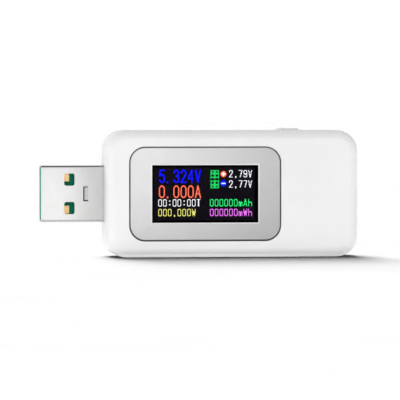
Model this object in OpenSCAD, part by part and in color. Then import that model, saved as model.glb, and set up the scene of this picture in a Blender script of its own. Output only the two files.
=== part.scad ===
// Inline USB power meter: a white two-shell housing with a type A plug at one end, a type A
// socket at the other, a colour display behind a silver trim plate and one push button.
// +X runs from the plug to the socket, the display faces -Y and the long lower edge stands on
// Z = 0. The origin is under the middle of the whole length. Millimetres.

/* [Housing] */
// Length of the housing without the plug
body_l = 54.1; // [53:0.1:56]
// Height of the housing, across the width of the plug
body_h = 27; // [26.4:0.1:29]
// Thickness of the housing from display face to back face
body_t = 13; // [13:0.1:14]
// Radius of the four corners seen from the front
corner_r = 4.5; // [4:0.1:5]
// Radius of the rounded rim round the front and the back face
rim_r = 2; // [1.2:0.1:2.2]
// Wall thickness of the sides and the back
wall = 1.5; // [1.4:0.1:1.6]

/* [Trim plate and display] */
// Distance from the plug end of the housing to the middle of the display
display_from_end = 21.2; // [20.5:0.1:22]
// Length of the trim plate
plate_l = 32.1; // [31:0.1:33]
// Height of the trim plate
plate_h = 19.7; // [19:0.05:20.5]
// Corner radius of the trim plate
plate_r = 3.2; // [2.5:0.1:3.5]
// Gap all round the trim plate
plate_gap = 0.25; // [0.1:0.05:0.3]
// Length of the window in the trim plate
window_l = 22.75; // [21.8:0.05:23]
// Height of the window in the trim plate
window_h = 12.25; // [11.5:0.05:12.5]
// Width of the bevel round the window
window_bevel = 0.25; // [0.1:0.05:0.3]

/* [Plug] */
// How far the plug stands out of the housing
plug_out = 13.5; // [12.5:0.1:14]
// Width of the plug shell
plug_w = 12; // [11.9:0.05:12.1]
// Thickness of the plug shell
plug_t = 4.5; // [4.4:0.05:4.6]
// Thickness of the shells' sheet metal
sheet = 0.3; // [0.25:0.05:0.3]

/* [Button] */
// Distance from the plug end of the housing to the middle of the button
button_from_end = 39.55; // [38.5:0.05:40]
// Length of the button
button_l = 4.85; // [4:0.05:5]
// Width of the button
button_w = 2.8; // [2.4:0.1:3]
// How far the button stands proud of the housing
button_proud = 0.4; // [0.3:0.05:0.5]
// How far the button travels when it is pressed
button_travel = 0.25; // [0.2:0.01:0.25]

/* [Hidden] */
$fn = 64;

// Places along the length
tip_x = -(body_l + plug_out) / 2;
end_x = tip_x + plug_out;
mouth_x = end_x + body_l;
body_x = (end_x + mouth_x) / 2;
display_x = end_x + display_from_end;
button_x = end_x + button_from_end;
mid_z = body_h / 2;
front_y = -body_t / 2;
back_y = body_t / 2;
eps = 0.01;
far = 100;

// Housing
recess_deep = 0.8;
recess_y = front_y + recess_deep;
cavity_front = recess_y + 0.8;
cavity_back = back_y - wall;
cavity_rim_r = 0.6;
cavity_top = body_h - wall;
seam = 0.12;
lip_high = 1;
lip_out = 0.8;
rebate_out = 0.7;
snap_l = 5;
snap_x = [-9, 7];
snap_bite = 0.25;
snap_y = [-0.8, -0.35];
saddle_t = 1.2;
plug_saddle_x = end_x + 2.6;
socket_saddle_x = mouth_x - 3.8;
post_r = 1.6;
post_pin_r = 0.75;
post_bore_r = 0.9;
post_x = [-9.5, 13];
post_z = 9;

// Circuit board
board_front = 0.35;
board_t = 1.2;
board_back = board_front + board_t;
board_l0 = end_x + 5.3;
board_l1 = mouth_x - wall - 0.3;
board_h = 23;
board_r = 2.5;

// Trim plate, window and display module
plate_sink = 0.05;
plate_t = 0.65;
plate_front = front_y + plate_sink;
plate_back = plate_front + plate_t;
bevel_deep = 0.12;
lens_l = window_l + 1.2;
lens_h = window_h + 1.2;
lens_t = 0.7;
lens_clear = 0.1;
lcd_x0 = display_x - 12.2;
glass_inset = 0.25;
lcd_l = 27.95;
lcd_h = 13.4;
lcd_front = cavity_front + 0.05;
upper_glass_t = 0.5;
upper_glass_l = 24;
ledge_x = lcd_x0 + glass_inset + upper_glass_l;
lower_glass_t = 0.4;
lower_glass_l = 26.8;
backlight_t = 0.8;
glass_back = lcd_front + upper_glass_t + lower_glass_t;
backlight_back = glass_back + backlight_t;
ribbon_w = 8;
ribbon_t = 0.12;

// Plug
shell_l = 18.8;
shell_r = 0.5;
tongue_y = 0;
contact_y = 0.15;
contact_t = board_front - contact_y;
exposed = 6.2;
tongue_l = 8.8;
power_z = 3.5;
power_w = 2;
data_z = 1;
data_w = 1;
lug_l = 1.9;
latch_x = tip_x + 6.05;
latch_side = 3.03;
latch_l = 2.2;
latch_w = 2.6;
latch_r = 0.45;
lance_x = [tip_x + 9, tip_x + 10.05];
lance_z = [mid_z - 1.6, mid_z + 1.55];
lance_l = 0.9;
lance_w = 2.7;
lance_lean = 24;

// Socket
socket_w = 13.1;
socket_t = 5.7;
socket_l = 13.6;
socket_x0 = mouth_x - 0.2 - socket_l;
socket_x1 = mouth_x - 0.2;
socket_block_l = 4.6;
socket_tongue_l = 8.3;
socket_tongue_t = 1.84;
socket_contact_w = 1;
tail_l = 1.5;
finger_l = 5;
finger_w = 2;
ear_x = 6.2;
ear_l = 2.4;
ear_out = 1.9;

// Button and its switch
flange_t = 0.5;
flange_top = cavity_top - 0.1;
cap_bottom = flange_top - flange_t;
frame_top = cap_bottom - 0.45;
frame_t = 0.2;
switch_top = frame_top - frame_t;
switch_l = 4.6;
switch_w = 3.2;
switch_deep = 2.2;
pocket_l = 3.4;
pocket_w = 2.3;
pocket_floor = switch_top - 1.35;
stem_l = 2.4;
stem_w = 1.3;
dome_r = 1.1;
dome_high = 0.4;
dome_t = 0.08;
terminal_l = 1.1;

// ---------- drawing helpers ----------

// A box given by its two ends along each axis
module block(x, y, z) {
    translate([x[0], y[0], z[0]]) cube([x[1] - x[0], y[1] - y[0], z[1] - z[0]]);
}

// Extrudes a drawing of the front view from depth y0 to depth y1
module slab(y0, y1) {
    translate([0, y1, 0]) rotate([90, 0, 0]) linear_extrude(y1 - y0) children();
}

// Extrudes a drawing of the end view, with Y across and Z up, from x0 to x1
module along(x0, x1) {
    translate([x0, 0, 0]) rotate([90, 0, 90]) linear_extrude(x1 - x0) children();
}

// Extrudes a drawing of the top view from z0 to z1
module rise(z0, z1) {
    translate([0, 0, z0]) linear_extrude(z1 - z0) children();
}

module round_rect(l, h, r) {
    square([l - 2 * r, h], center = true);
    square([l, h - 2 * r], center = true);
    for (x = [-1, 1], y = [-1, 1])
        translate([x * (l / 2 - r), y * (h / 2 - r)]) circle(r);
}

// A round disc whose two rims are rounded
module puck(r, rim, t) {
    rotate_extrude() {
        translate([0, -t / 2]) square([r - rim, t]);
        translate([0, -t / 2 + rim]) square([r, t - 2 * rim]);
        for (side = [-1, 1]) intersection() {
            translate([r - rim, side * (t / 2 - rim)]) circle(rim);
            translate([0, -t / 2]) square([r, t]);
        }
    }
}

// A box with rounded corners in the front view and a rounded rim round its front and back
module soft_box(l, h, t, r, rim) {
    rotate([90, 0, 0]) {
        for (x = [-1, 1], z = [-1, 1])
            translate([x * (l / 2 - r), z * (h / 2 - r), 0]) puck(r, rim, t);
        rotate([90, 0, 90]) linear_extrude(l - 2 * r, center = true) round_rect(h, t, rim);
        rotate([90, 0, 0]) linear_extrude(h - 2 * r, center = true) round_rect(l, t, rim);
    }
}

// The front view outline of the housing, drawn in by a given distance
module outline(inset) {
    translate([body_x, mid_z])
        round_rect(body_l - 2 * inset, body_h - 2 * inset, corner_r - inset);
}

module at_posts() {
    for (x = post_x, side = [-1, 1]) translate([x, mid_z + side * post_z]) children();
}

// A rectangular sheet metal tube along X round the line at mid height
module tube(x0, x1, w, t, r) {
    along(x0, x1) translate([0, mid_z]) difference() {
        round_rect(t, w, r);
        round_rect(t - 2 * sheet, w - 2 * sheet, r - sheet / 2);
    }
}

// What fills such a tube from wall to wall
module shell_core(x0, x1, w, t, r) {
    slack = 0.02;
    along(x0, x1) translate([0, mid_z])
        round_rect(t - 2 * sheet - slack, w - 2 * sheet - slack, r - sheet / 2);
}

// ---------- housing ----------

module housing_solid() {
    translate([body_x, 0, mid_z]) soft_box(body_l, body_h, body_t, corner_r, rim_r);
}

module housing_cavity() {
    translate([body_x, (cavity_front + cavity_back) / 2, mid_z])
        soft_box(body_l - 2 * wall, body_h - 2 * wall, cavity_back - cavity_front,
                 corner_r - wall, cavity_rim_r);
}

// A funnel outline that opens towards the mouth of the socket
module bevel_outline(half_gap) {
    deep = 0.9;
    flare = 0.75;
    polygon([
        [mouth_x - deep, -half_gap], [mouth_x, -half_gap - flare], [mouth_x + 1, -half_gap - flare],
        [mouth_x + 1, half_gap + flare], [mouth_x, half_gap + flare], [mouth_x - deep, half_gap]
    ]);
}

// Everything that has to pass through the walls: plug, socket and button
module wall_openings() {
    fit = 0.1;
    along(end_x - 1, end_x + 2.5) translate([0, mid_z])
        round_rect(plug_t + 2 * fit, plug_w + 2 * fit, shell_r);
    along(mouth_x - 2.6, mouth_x + 1) translate([0, mid_z])
        round_rect(socket_t + 0.4, socket_w + 0.4, 0.7);
    // bevel that the socket's lips lie in
    intersection() {
        rise(0, body_h) bevel_outline(socket_t / 2 + 0.2);
        translate([0, 0, mid_z]) slab(front_y, back_y) bevel_outline(socket_w / 2 + 0.2);
    }
    rise(cavity_top - 1, body_h + 1) translate([button_x, 0])
        round_rect(button_l + 0.24, button_w + 0.24, 1.1);
}

// A cross wall with a saddle for a connector's shell
module saddle(x, y0, y1, w, t) {
    difference() {
        block([x, x + saddle_t], [y0, y1],
              [mid_z - w / 2 - saddle_t, mid_z + w / 2 + saddle_t]);
        along(x - 1, x + 3) translate([0, mid_z]) square([t + 0.16, w + 0.16], center = true);
    }
}

module snaps(l, bite, y0, y1) {
    for (x = snap_x, side = [-1, 1])
        translate([x, 0, mid_z + side * (body_h / 2 - lip_out + bite / 2 - 0.1)])
            block([-l / 2, l / 2], [y0, y1], [-bite / 2 - 0.1, bite / 2 + 0.1]);
}

module front_cover() color([0.95, 0.95, 0.95]) difference() {
    union() {
        difference() {
            housing_solid();
            housing_cavity();
            block([-far, far], [-seam / 2, far], [-far, far]);
            slab(-lip_high, far) outline(rebate_out);
        }
        // hollow posts that press on the board
        slab(cavity_front - 0.2, board_front) at_posts() circle(post_r);
        // ribs that locate the display on three sides
        slab(cavity_front - 0.2, glass_back + 0.2) difference() {
            translate([lcd_x0 - 1, mid_z - lcd_h / 2 - 1]) square([lcd_l - 2, lcd_h + 2]);
            translate([lcd_x0 - 0.15, mid_z - lcd_h / 2 - 0.15])
                square([lcd_l, lcd_h + 0.3]);
        }
        saddle(plug_saddle_x, cavity_front - 0.2, -lip_high, plug_w, plug_t);
        saddle(socket_saddle_x, cavity_front - 0.2, -lip_high, socket_w, socket_t);
    }
    slab(-lip_high - 2, far) at_posts() circle(post_bore_r);
    slab(front_y - 1, recess_y) translate([display_x, mid_z])
        round_rect(plate_l + 2 * plate_gap, plate_h + 2 * plate_gap, plate_r + plate_gap);
    slab(recess_y - 1, cavity_front + 1) translate([display_x, mid_z])
        round_rect(lens_l + 2 * lens_clear, lens_h + 2 * lens_clear, 0.6);
    snaps(snap_l + 0.3, snap_bite + 0.06, snap_y[0] - 0.05, snap_y[1] + 0.05);
    wall_openings();
}

module rear_cover() color([0.95, 0.95, 0.95]) difference() {
    union() {
        difference() {
            housing_solid();
            housing_cavity();
            block([-far, far], [-far, seam / 2], [-far, far]);
        }
        // lip that enters the front cover
        slab(-lip_high, seam) difference() {
            outline(lip_out);
            outline(wall);
        }
        snaps(snap_l, snap_bite, snap_y[0], snap_y[1]);
        // posts under the board, with pins through it
        slab(board_back, cavity_back + 0.2) at_posts() circle(post_r);
        slab(-1.2, board_back + 1) at_posts() circle(post_pin_r);
        saddle(plug_saddle_x, seam, cavity_back + 0.2, plug_w, plug_t);
        saddle(socket_saddle_x, seam, cavity_back + 0.2, socket_w, socket_t);
    }
    wall_openings();
    // the board's ends and the button's flange need the lip and saddles cut away
    block([button_x - 3.4, button_x + 3.4], [-lip_high - 1, -seam / 2],
          [cavity_top - 0.5, cavity_top + lip_out]);
    block([mouth_x - 5, board_l1 + 0.1], [seam / 2, board_back + 0.05],
          [mid_z - board_h / 2 - 0.1, mid_z + board_h / 2 + 0.1]);
}

// ---------- trim plate, window and display ----------

// Section of the window's opening, as place across and depth, with a bevel at the front
function opening_section(half) = [
    [-half, plate_back + 1], [-half, plate_front + bevel_deep],
    [-half - window_bevel, plate_front], [-half - window_bevel, front_y - 1],
    [half + window_bevel, front_y - 1], [half + window_bevel, plate_front],
    [half, plate_front + bevel_deep], [half, plate_back + 1]
];

module window_opening() intersection() {
    translate([display_x, 0, 0]) rise(0, body_h) polygon(opening_section(window_l / 2));
    translate([0, 0, mid_z]) along(end_x, mouth_x)
        polygon([for (p = opening_section(window_h / 2)) [p[1], p[0]]]);
}

module trim_plate() color([0.78, 0.78, 0.79]) difference() {
    slab(plate_front, plate_back) translate([display_x, mid_z])
        round_rect(plate_l, plate_h, plate_r);
    window_opening();
}

// Black tape that fills the recess, so the gap round the plate looks dark
module trim_adhesive() color([0.06, 0.06, 0.065]) {
    spread = plate_gap - 0.03;
    slab(plate_back, recess_y) translate([display_x, mid_z]) difference() {
        round_rect(plate_l + 2 * spread, plate_h + 2 * spread, plate_r + spread);
        square([lens_l + 0.4, lens_h + 0.4], center = true);
    }
}

module display_window() color([0.85, 0.88, 0.9, 0.3]) {
    slab(plate_back, plate_back + lens_t) translate([display_x, mid_z])
        round_rect(lens_l, lens_h, 0.5);
}

// Two glass layers: the lower one is longer and carries the driver chip
module lcd_cell() color([0.03, 0.03, 0.04]) {
    x0 = lcd_x0 + glass_inset;
    z = [mid_z - lcd_h / 2 + glass_inset, mid_z + lcd_h / 2 - glass_inset];
    block([x0, x0 + upper_glass_l], [lcd_front, lcd_front + upper_glass_t], z);
    block([x0, x0 + lower_glass_l], [lcd_front + upper_glass_t, glass_back], z);
}

module lcd_driver_chip() color([0.15, 0.15, 0.17]) {
    x = ledge_x + 0.4;
    block([x, x + 0.8], [lcd_front + 0.15, lcd_front + upper_glass_t],
          [mid_z - 4.5, mid_z + 4.5]);
}

module lcd_backlight() color([0.92, 0.92, 0.9]) {
    block([lcd_x0, lcd_x0 + lcd_l], [glass_back, backlight_back],
          [mid_z - lcd_h / 2, mid_z + lcd_h / 2]);
}

// Flat cable from the ledge of the lower glass, round the end and back on to the board
module lcd_ribbon() color([0.75, 0.5, 0.15]) {
    ledge_y = lcd_front + upper_glass_t;
    bond_x = ledge_x + 1.6;
    foot_l = 4.5;
    turn_x = lcd_x0 + lcd_l + 0.1;
    outer_r = (board_front - ledge_y + ribbon_t) / 2;
    turn_y = ledge_y - ribbon_t + outer_r;
    translate([0, 0, mid_z - ribbon_w / 2]) linear_extrude(ribbon_w) {
        translate([bond_x, ledge_y - ribbon_t]) square([turn_x - bond_x, ribbon_t]);
        translate([turn_x - foot_l, board_front - ribbon_t]) square([foot_l, ribbon_t]);
        difference() {
            translate([turn_x, turn_y]) circle(outer_r);
            translate([turn_x, turn_y]) circle(outer_r - ribbon_t);
            translate([turn_x - far, -far]) square([far, 2 * far]);
        }
    }
}

module foam_strips() color([0.12, 0.12, 0.13]) {
    strip_l = 20;
    strip_w = 2.2;
    from_middle = 5.2;
    for (side = [-1, 1]) translate([lcd_x0 + 2, 0, mid_z + side * from_middle])
        block([0, strip_l], [backlight_back, board_front], [-strip_w / 2, strip_w / 2]);
}

// ---------- circuit board ----------

module main_board() color([0.05, 0.35, 0.18]) difference() {
    slab(board_front, board_back)
        translate([(board_l0 + board_l1) / 2, mid_z])
            round_rect(board_l1 - board_l0, board_h, board_r);
    // opening that the socket is sunk in
    block([socket_x0 - 0.3, far], [-1, 3], [mid_z - socket_w / 2 - 0.1, mid_z + socket_w / 2 + 0.1]);
    // notch for the push switch
    block([button_x - switch_l / 2 - 0.1, button_x + switch_l / 2 + 0.1], [-1, 3],
          [switch_top - switch_deep - 0.05, far]);
    // room for the button's flange when it is pressed
    block([button_x - 3.6, button_x + 3.6], [-1, 3], [cap_bottom - 0.6, far]);
    for (side = [-1, 1]) {
        // slots for the plug shell's lugs
        translate([0, 0, mid_z + side * (plug_w / 2 - sheet / 2)])
            block([board_l0 - 1, end_x + 5.4 + lug_l + 0.2], [-1, 3], [-0.3, 0.3]);
        // slots for the socket shell's pins
        translate([0, 0, mid_z + side * (socket_w / 2 + ear_out - sheet / 2)])
            block([socket_x0 + ear_x - 0.15, socket_x0 + ear_x + ear_l + 0.15], [-1, 3],
                  [-0.3, 0.3]);
    }
    slab(-1, 3) at_posts() circle(post_bore_r);
}

// ---------- plug ----------

module plug_windows(y0, y1) {
    for (side = [-1, 1]) slab(y0, y1)
        translate([latch_x, mid_z + side * latch_side]) round_rect(latch_l, latch_w, latch_r);
}

// Folded tube with two latch windows on each face, a locking lance and two solder lugs
module plug_shell() color([0.82, 0.82, 0.83]) {
    x1 = tip_x + shell_l;
    difference() {
        tube(tip_x, x1, plug_w, plug_t, shell_r);
        plug_windows(-plug_t, plug_t);
        block(lance_x, [-plug_t, 0], lance_z);
    }
    intersection() {
        translate([lance_x[1] + 0.04, -plug_t / 2, mid_z]) rotate([0, 0, -lance_lean])
            block([-lance_l, 0], [0, sheet - 0.05], [-lance_w / 2, lance_w / 2]);
        block([-far, lance_x[1] + 0.001], [-plug_t / 2, 0], [-far, far]);
    }
    for (side = [-1, 1]) translate([0, 0, mid_z + side * (plug_w / 2 - sheet / 2)])
        block([x1 - 1, x1 + lug_l], [-0.7, plug_t / 2 - 0.6], [-sheet / 2, sheet / 2]);
}

module at_plug_contacts() {
    for (side = [-1, 1]) {
        translate([0, 0, mid_z + side * power_z]) {
            $contact_w = power_w;
            children();
        }
        translate([0, 0, mid_z + side * data_z]) {
            $contact_w = data_w;
            children();
        }
    }
}

module plug_contacts() color([0.95, 0.75, 0.35]) {
    at_plug_contacts()
        block([tip_x + 0.9, board_l0 + 2.4], [contact_y, contact_y + contact_t],
              [-$contact_w / 2, $contact_w / 2]);
}

// Tongue and rear block in one moulding that fills the shell's section
module plug_insulator() color([0.05, 0.62, 0.42]) {
    inner = plug_t / 2 - sheet;
    lance_pocket = 1.6;
    difference() {
        shell_core(tip_x + 0.05, board_l0 - 0.1, plug_w, plug_t, shell_r);
        block([tip_x, tip_x + exposed], [-plug_t, contact_y], [-far, far]);
        block([tip_x, tip_x + tongue_l], [-plug_t, tongue_y], [-far, far]);
        // grooves between the exposed contacts
        for (z = [-5.1, -2, 0, 2, 5.1])
            block([tip_x + 0.6, tip_x + exposed], [-1, contact_y + 0.4],
                  [mid_z + z - 0.45, mid_z + z + 0.45]);
        // pocket for the shell's lance
        block([tip_x + tongue_l - 0.1, lance_x[1] + 0.3], [-plug_t, lance_pocket - inner],
              [lance_z[0] - 0.15, lance_z[1] + 0.15]);
        plug_contacts();
    }
}

// ---------- socket ----------

// One lip of the mouth, bent outwards, for the wall on the +Y side
module mouth_lip(half_gap, w) {
    translate([socket_x1 - 0.75, half_gap - sheet, 0]) rotate([0, 0, 38])
        block([0, 0.95], [0, sheet], [-w / 2, w / 2]);
}

// One spring finger that leans in from the +Y wall, joined to it at its inner end
module spring_finger() {
    translate([socket_x0 + 6.6, socket_t / 2 - sheet, 0]) rotate([0, 0, -4.5])
        block([-0.02, finger_l - 0.5], [0, sheet - 0.08], [-finger_w / 2, finger_w / 2]);
}

module at_fingers() {
    for (face = [0, 180], z = [-3.2, 3.2])
        translate([0, 0, mid_z]) rotate([face, 0, 0]) translate([0, 0, z]) children();
}

module socket_shell() color([0.8, 0.8, 0.82]) {
    lip_x = socket_x1 - 0.7;
    difference() {
        tube(socket_x0, lip_x, socket_w, socket_t, shell_r);
        at_fingers() block([socket_x0 + 6.6, socket_x0 + 6.6 + finger_l], [socket_t / 2 - 1, socket_t],
                           [-finger_w / 2 - 0.25, finger_w / 2 + 0.25]);
    }
    at_fingers() spring_finger();
    for (face = [0, 180]) translate([0, 0, mid_z]) rotate([face, 0, 0])
        mouth_lip(socket_t / 2, socket_w - 2);
    for (face = [90, 270]) translate([0, 0, mid_z]) rotate([face, 0, 0])
        mouth_lip(socket_w / 2, socket_t - 1.8);
    // ears that lie on the board, with pins through it
    for (face = [0, 1]) translate([0, 0, mid_z]) mirror([0, 0, face]) {
        x = [socket_x0 + ear_x, socket_x0 + ear_x + ear_l];
        z = socket_w / 2 + ear_out;
        block(x, [board_front - sheet, board_front], [socket_w / 2 - sheet / 2, z]);
        block([x[0] + 0.3, x[1] - 0.3], [board_front - sheet, board_back + 0.5], [z - sheet, z]);
    }
}

module at_socket_contacts() {
    for (z = [-3.5, -1, 1, 3.5]) translate([0, 0, mid_z + z]) children();
}

// Strip on the tongue with a sprung bump, a step inside the block and a tail on the board
module socket_contacts() color([0.95, 0.75, 0.35]) {
    t = 0.2;
    low = -0.03;
    tail = board_front - t;
    bump_x = socket_x0 + socket_block_l + 6;
    step_x = socket_x0 + 2;
    at_socket_contacts() translate([0, 0, -socket_contact_w / 2]) linear_extrude(socket_contact_w)
        polygon([
            [socket_x0 - tail_l, tail], [step_x, tail], [step_x, low], [bump_x - 1.4, low],
            [bump_x, low + 0.28], [bump_x + 0.9, low], [bump_x + 1.5, low],
            [bump_x + 1.5, low + t], [bump_x + 0.95, low + t], [bump_x, low + 0.28 + t],
            [bump_x - 1.4, low + t], [step_x + t, low + t], [step_x + t, board_front],
            [socket_x0 - tail_l, board_front]
        ]);
}

module socket_insulator() color([0.05, 0.62, 0.42]) {
    x0 = socket_x0 + 0.2;
    x1 = socket_x0 + socket_block_l;
    tongue_top = -0.03;
    difference() {
        union() {
            shell_core(x0, x1, socket_w, socket_t, shell_r);
            block([x1 - 0.5, x1 + socket_tongue_l], [tongue_top - socket_tongue_t, tongue_top],
                  [mid_z - 5.55, mid_z + 5.55]);
        }
        // the slot that each contact runs in through the block
        at_socket_contacts() block([x0 - 1, x1 + 0.01], [tongue_top, board_front + 0.02],
                                   [-socket_contact_w / 2, socket_contact_w / 2]);
    }
}

// ---------- button and switch ----------

module button_cap() color([0.95, 0.95, 0.95]) {
    top = body_h + button_proud;
    edge = 0.3;
    translate([button_x, 0, 0]) {
        rise(cap_bottom, flange_top) round_rect(button_l + 1.3, button_w + 1.3, 0.8);
        rise(flange_top - eps, top - edge) round_rect(button_l, button_w, 1);
        // crowned top made of stacked smaller outlines
        for (i = [1:5]) {
            a = i * 90 / 5;
            rise(top - edge - eps, top - edge + edge * sin(a))
                round_rect(button_l - 2 * edge * (1 - cos(a - 9)),
                           button_w - 2 * edge * (1 - cos(a - 9)),
                           1 - edge * (1 - cos(a - 9)));
        }
    }
}

module switch_body() color([0.1, 0.1, 0.1]) translate([button_x, 0, 0]) difference() {
    rise(switch_top - switch_deep, switch_top) square([switch_l, switch_w], center = true);
    rise(pocket_floor, switch_top + 1) square([pocket_l, pocket_w], center = true);
}

module switch_frame() color([0.8, 0.8, 0.82]) translate([button_x, 0, 0]) {
    skirt = 1.3;
    difference() {
        rise(switch_top, frame_top) square([switch_l, switch_w + 0.4], center = true);
        rise(switch_top - 1, frame_top + 1) square([stem_l + 0.1, stem_w + 0.1], center = true);
    }
    for (side = [-1, 1]) translate([0, side * (switch_w / 2 + frame_t / 2), 0])
        rise(switch_top - skirt, switch_top + eps) square([switch_l - 1, frame_t], center = true);
}

module switch_plunger() color([0.9, 0.9, 0.88]) translate([button_x, 0, 0]) {
    flange = switch_top - 0.05;
    rise(flange - 0.4, flange) square([pocket_l - 0.2, pocket_w - 0.2], center = true);
    rise(flange - eps, cap_bottom - 0.02) square([stem_l, stem_w], center = true);
    rise(pocket_floor + dome_high + 0.02, flange - 0.4 + eps) circle(0.4);
}

// Snap dome under the plunger: a shallow cap of thin spring steel
module switch_dome() color([0.75, 0.75, 0.77]) {
    ball = (dome_r * dome_r + dome_high * dome_high) / (2 * dome_high);
    translate([button_x, 0, pocket_floor]) difference() {
        intersection() {
            translate([0, 0, dome_high - ball]) sphere(ball);
            rise(0, dome_high + 1) circle(dome_r + 1);
        }
        translate([0, 0, dome_high - ball]) sphere(ball - dome_t);
    }
}

module switch_terminals() color([0.85, 0.85, 0.86]) {
    z = switch_top - switch_deep + 0.3;
    for (side = [0, 1]) translate([button_x, 0, 0]) mirror([side, 0, 0])
        block([switch_l / 2, switch_l / 2 + terminal_l], [board_front - 0.2, board_front],
              [z, z + 1]);
}

// ---------- parts on the back of the board ----------

// A chip's body with chamfered long edges, standing on the board's back. long is along X.
module chip_body(l, w, t, stand) {
    y0 = board_back + stand;
    y_mid = y0 + t * 0.45;
    draft = 0.18;
    translate([-l / 2, 0, 0]) rotate([90, 0, 90]) linear_extrude(l) polygon([
        [y0, -w / 2 + draft], [y_mid, -w / 2], [y0 + t, -w / 2 + draft],
        [y0 + t, w / 2 - draft], [y_mid, w / 2], [y0, w / 2 - draft]
    ]);
}

// A row of gull-wing leads along one long side, reaching from z0 out to z1
module gull_leads(n, pitch, lead_w, z0, z1, shoulder) {
    t = 0.15;
    foot = 0.45;
    bend = z1 - foot;
    for (i = [0:n - 1])
        translate([(i - (n - 1) / 2) * pitch - lead_w / 2, 0, 0])
            rotate([90, 0, 90]) linear_extrude(lead_w) polygon([
                [shoulder, z0], [shoulder, bend], [board_back, bend + 0.05], [board_back, z1],
                [board_back + t, z1], [board_back + t, bend + t + 0.05],
                [shoulder + t, bend + t], [shoulder + t, z0]
            ]);
}

module both_sides() {
    for (face = [0, 1]) mirror([0, 0, face]) children();
}

controller_at = [-3.4, 0];
controller_size = [7.2, 5.3, 1.5];
amplifier_at = [8.6, 3.6];
amplifier_size = [4.9, 3.9, 1.4];
regulator_at = [8.6, -4.2];
shunt_at = [1.2, -8.2];
shunt_size = [6.4, 3.2, 0.6];
crystal_at = [-10.6, 0];
// Middle of each small capacitor and resistor, as X and height above the board's middle
capacitor_at = [[-8.2, 5.2], [-5.6, 5.2], [-3, 5.2], [-0.4, 5.2], [14.2, 4], [14.2, 0], [14.2, -4]];
resistor_at = [[-8, -4.6], [-5.6, -4.6], [-3.2, -4.6], [-0.8, -4.6], [3.4, 1.2], [3.4, -1.2],
               [3.4, 8], [6, 8.4]];
passive_l = 1.6;
passive_w = 0.8;
capacitor_t = 0.8;
resistor_t = 0.45;
cap_end = 0.3;

module on_board(at) translate([at[0], 0, mid_z + at[1]]) children();

module controller_chip() color([0.08, 0.08, 0.09])
    on_board(controller_at)
        chip_body(controller_size[0], controller_size[1], controller_size[2], 0.1);

module controller_pins() color([0.8, 0.8, 0.82])
    on_board(controller_at) both_sides()
        gull_leads(10, 0.65, 0.28, controller_size[1] / 2, controller_size[1] / 2 + 1.25,
                   board_back + 0.7);

module amplifier_chip() color([0.08, 0.08, 0.09])
    on_board(amplifier_at)
        chip_body(amplifier_size[0], amplifier_size[1], amplifier_size[2], 0.1);

module amplifier_pins() color([0.8, 0.8, 0.82])
    on_board(amplifier_at) both_sides()
        gull_leads(4, 1.27, 0.42, amplifier_size[1] / 2, amplifier_size[1] / 2 + 1.1,
                   board_back + 0.65);

module regulator() color([0.08, 0.08, 0.09])
    on_board(regulator_at) block([-2.25, 2.25], [board_back + 0.4, board_back + 1.5], [-1.2, 1.3]);

module regulator_leads() color([0.85, 0.85, 0.86]) on_board(regulator_at) {
    y = [board_back, board_back + 0.4];
    block([-0.8, 0.8], y, [-1.1, 2.1]);
    for (i = [-1, 0, 1]) translate([i * 1.5, 0, 0]) block([-0.22, 0.22], y, [-2.1, -1.1 + eps]);
}

module shunt_resistor() color([0.12, 0.12, 0.12])
    on_board(shunt_at)
        block([-shunt_size[0] / 2 + 0.9, shunt_size[0] / 2 - 0.9],
              [board_back, board_back + shunt_size[2]], [-shunt_size[1] / 2, shunt_size[1] / 2]);

module shunt_terminals() color([0.85, 0.85, 0.86]) on_board(shunt_at)
    for (side = [0, 1]) mirror([side, 0, 0])
        block([shunt_size[0] / 2 - 0.9, shunt_size[0] / 2],
              [board_back, board_back + shunt_size[2]], [-shunt_size[1] / 2, shunt_size[1] / 2]);

module crystal() color([0.8, 0.8, 0.8]) on_board(crystal_at)
    slab(board_back, board_back + 0.8) round_rect(2.5, 3.2, 0.4);

module passives(places, t) {
    for (p = places) on_board(p)
        block([-passive_l / 2 + cap_end, passive_l / 2 - cap_end], [board_back, board_back + t],
              [-passive_w / 2, passive_w / 2]);
}

module end_caps(places, t) {
    for (p = places, side = [0, 1]) on_board(p) mirror([side, 0, 0])
        block([passive_l / 2 - cap_end, passive_l / 2], [board_back, board_back + t],
              [-passive_w / 2, passive_w / 2]);
}

module chip_capacitors() color([0.62, 0.48, 0.34]) passives(capacitor_at, capacitor_t);

module chip_resistors() color([0.07, 0.07, 0.08]) passives(resistor_at, resistor_t);

module passive_end_caps() color([0.86, 0.86, 0.87]) {
    end_caps(capacitor_at, capacitor_t);
    end_caps(resistor_at, resistor_t);
}

front_cover();
rear_cover();
trim_plate();
trim_adhesive();
display_window();
lcd_cell();
lcd_driver_chip();
lcd_backlight();
lcd_ribbon();
foam_strips();
main_board();
plug_shell();
plug_insulator();
plug_contacts();
socket_shell();
socket_insulator();
socket_contacts();
button_cap();
switch_body();
switch_frame();
switch_plunger();
switch_dome();
switch_terminals();
controller_chip();
controller_pins();
amplifier_chip();
amplifier_pins();
regulator();
regulator_leads();
shunt_resistor();
shunt_terminals();
crystal();
chip_capacitors();
chip_resistors();
passive_end_caps();
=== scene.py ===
"""Looks of an inline USB power meter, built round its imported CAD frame.

Everything is in metres in the frame of the CAD: +X runs from the plug to the socket, the display
faces -Y and the long lower edge stands on Z = 0.
"""
import math

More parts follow.
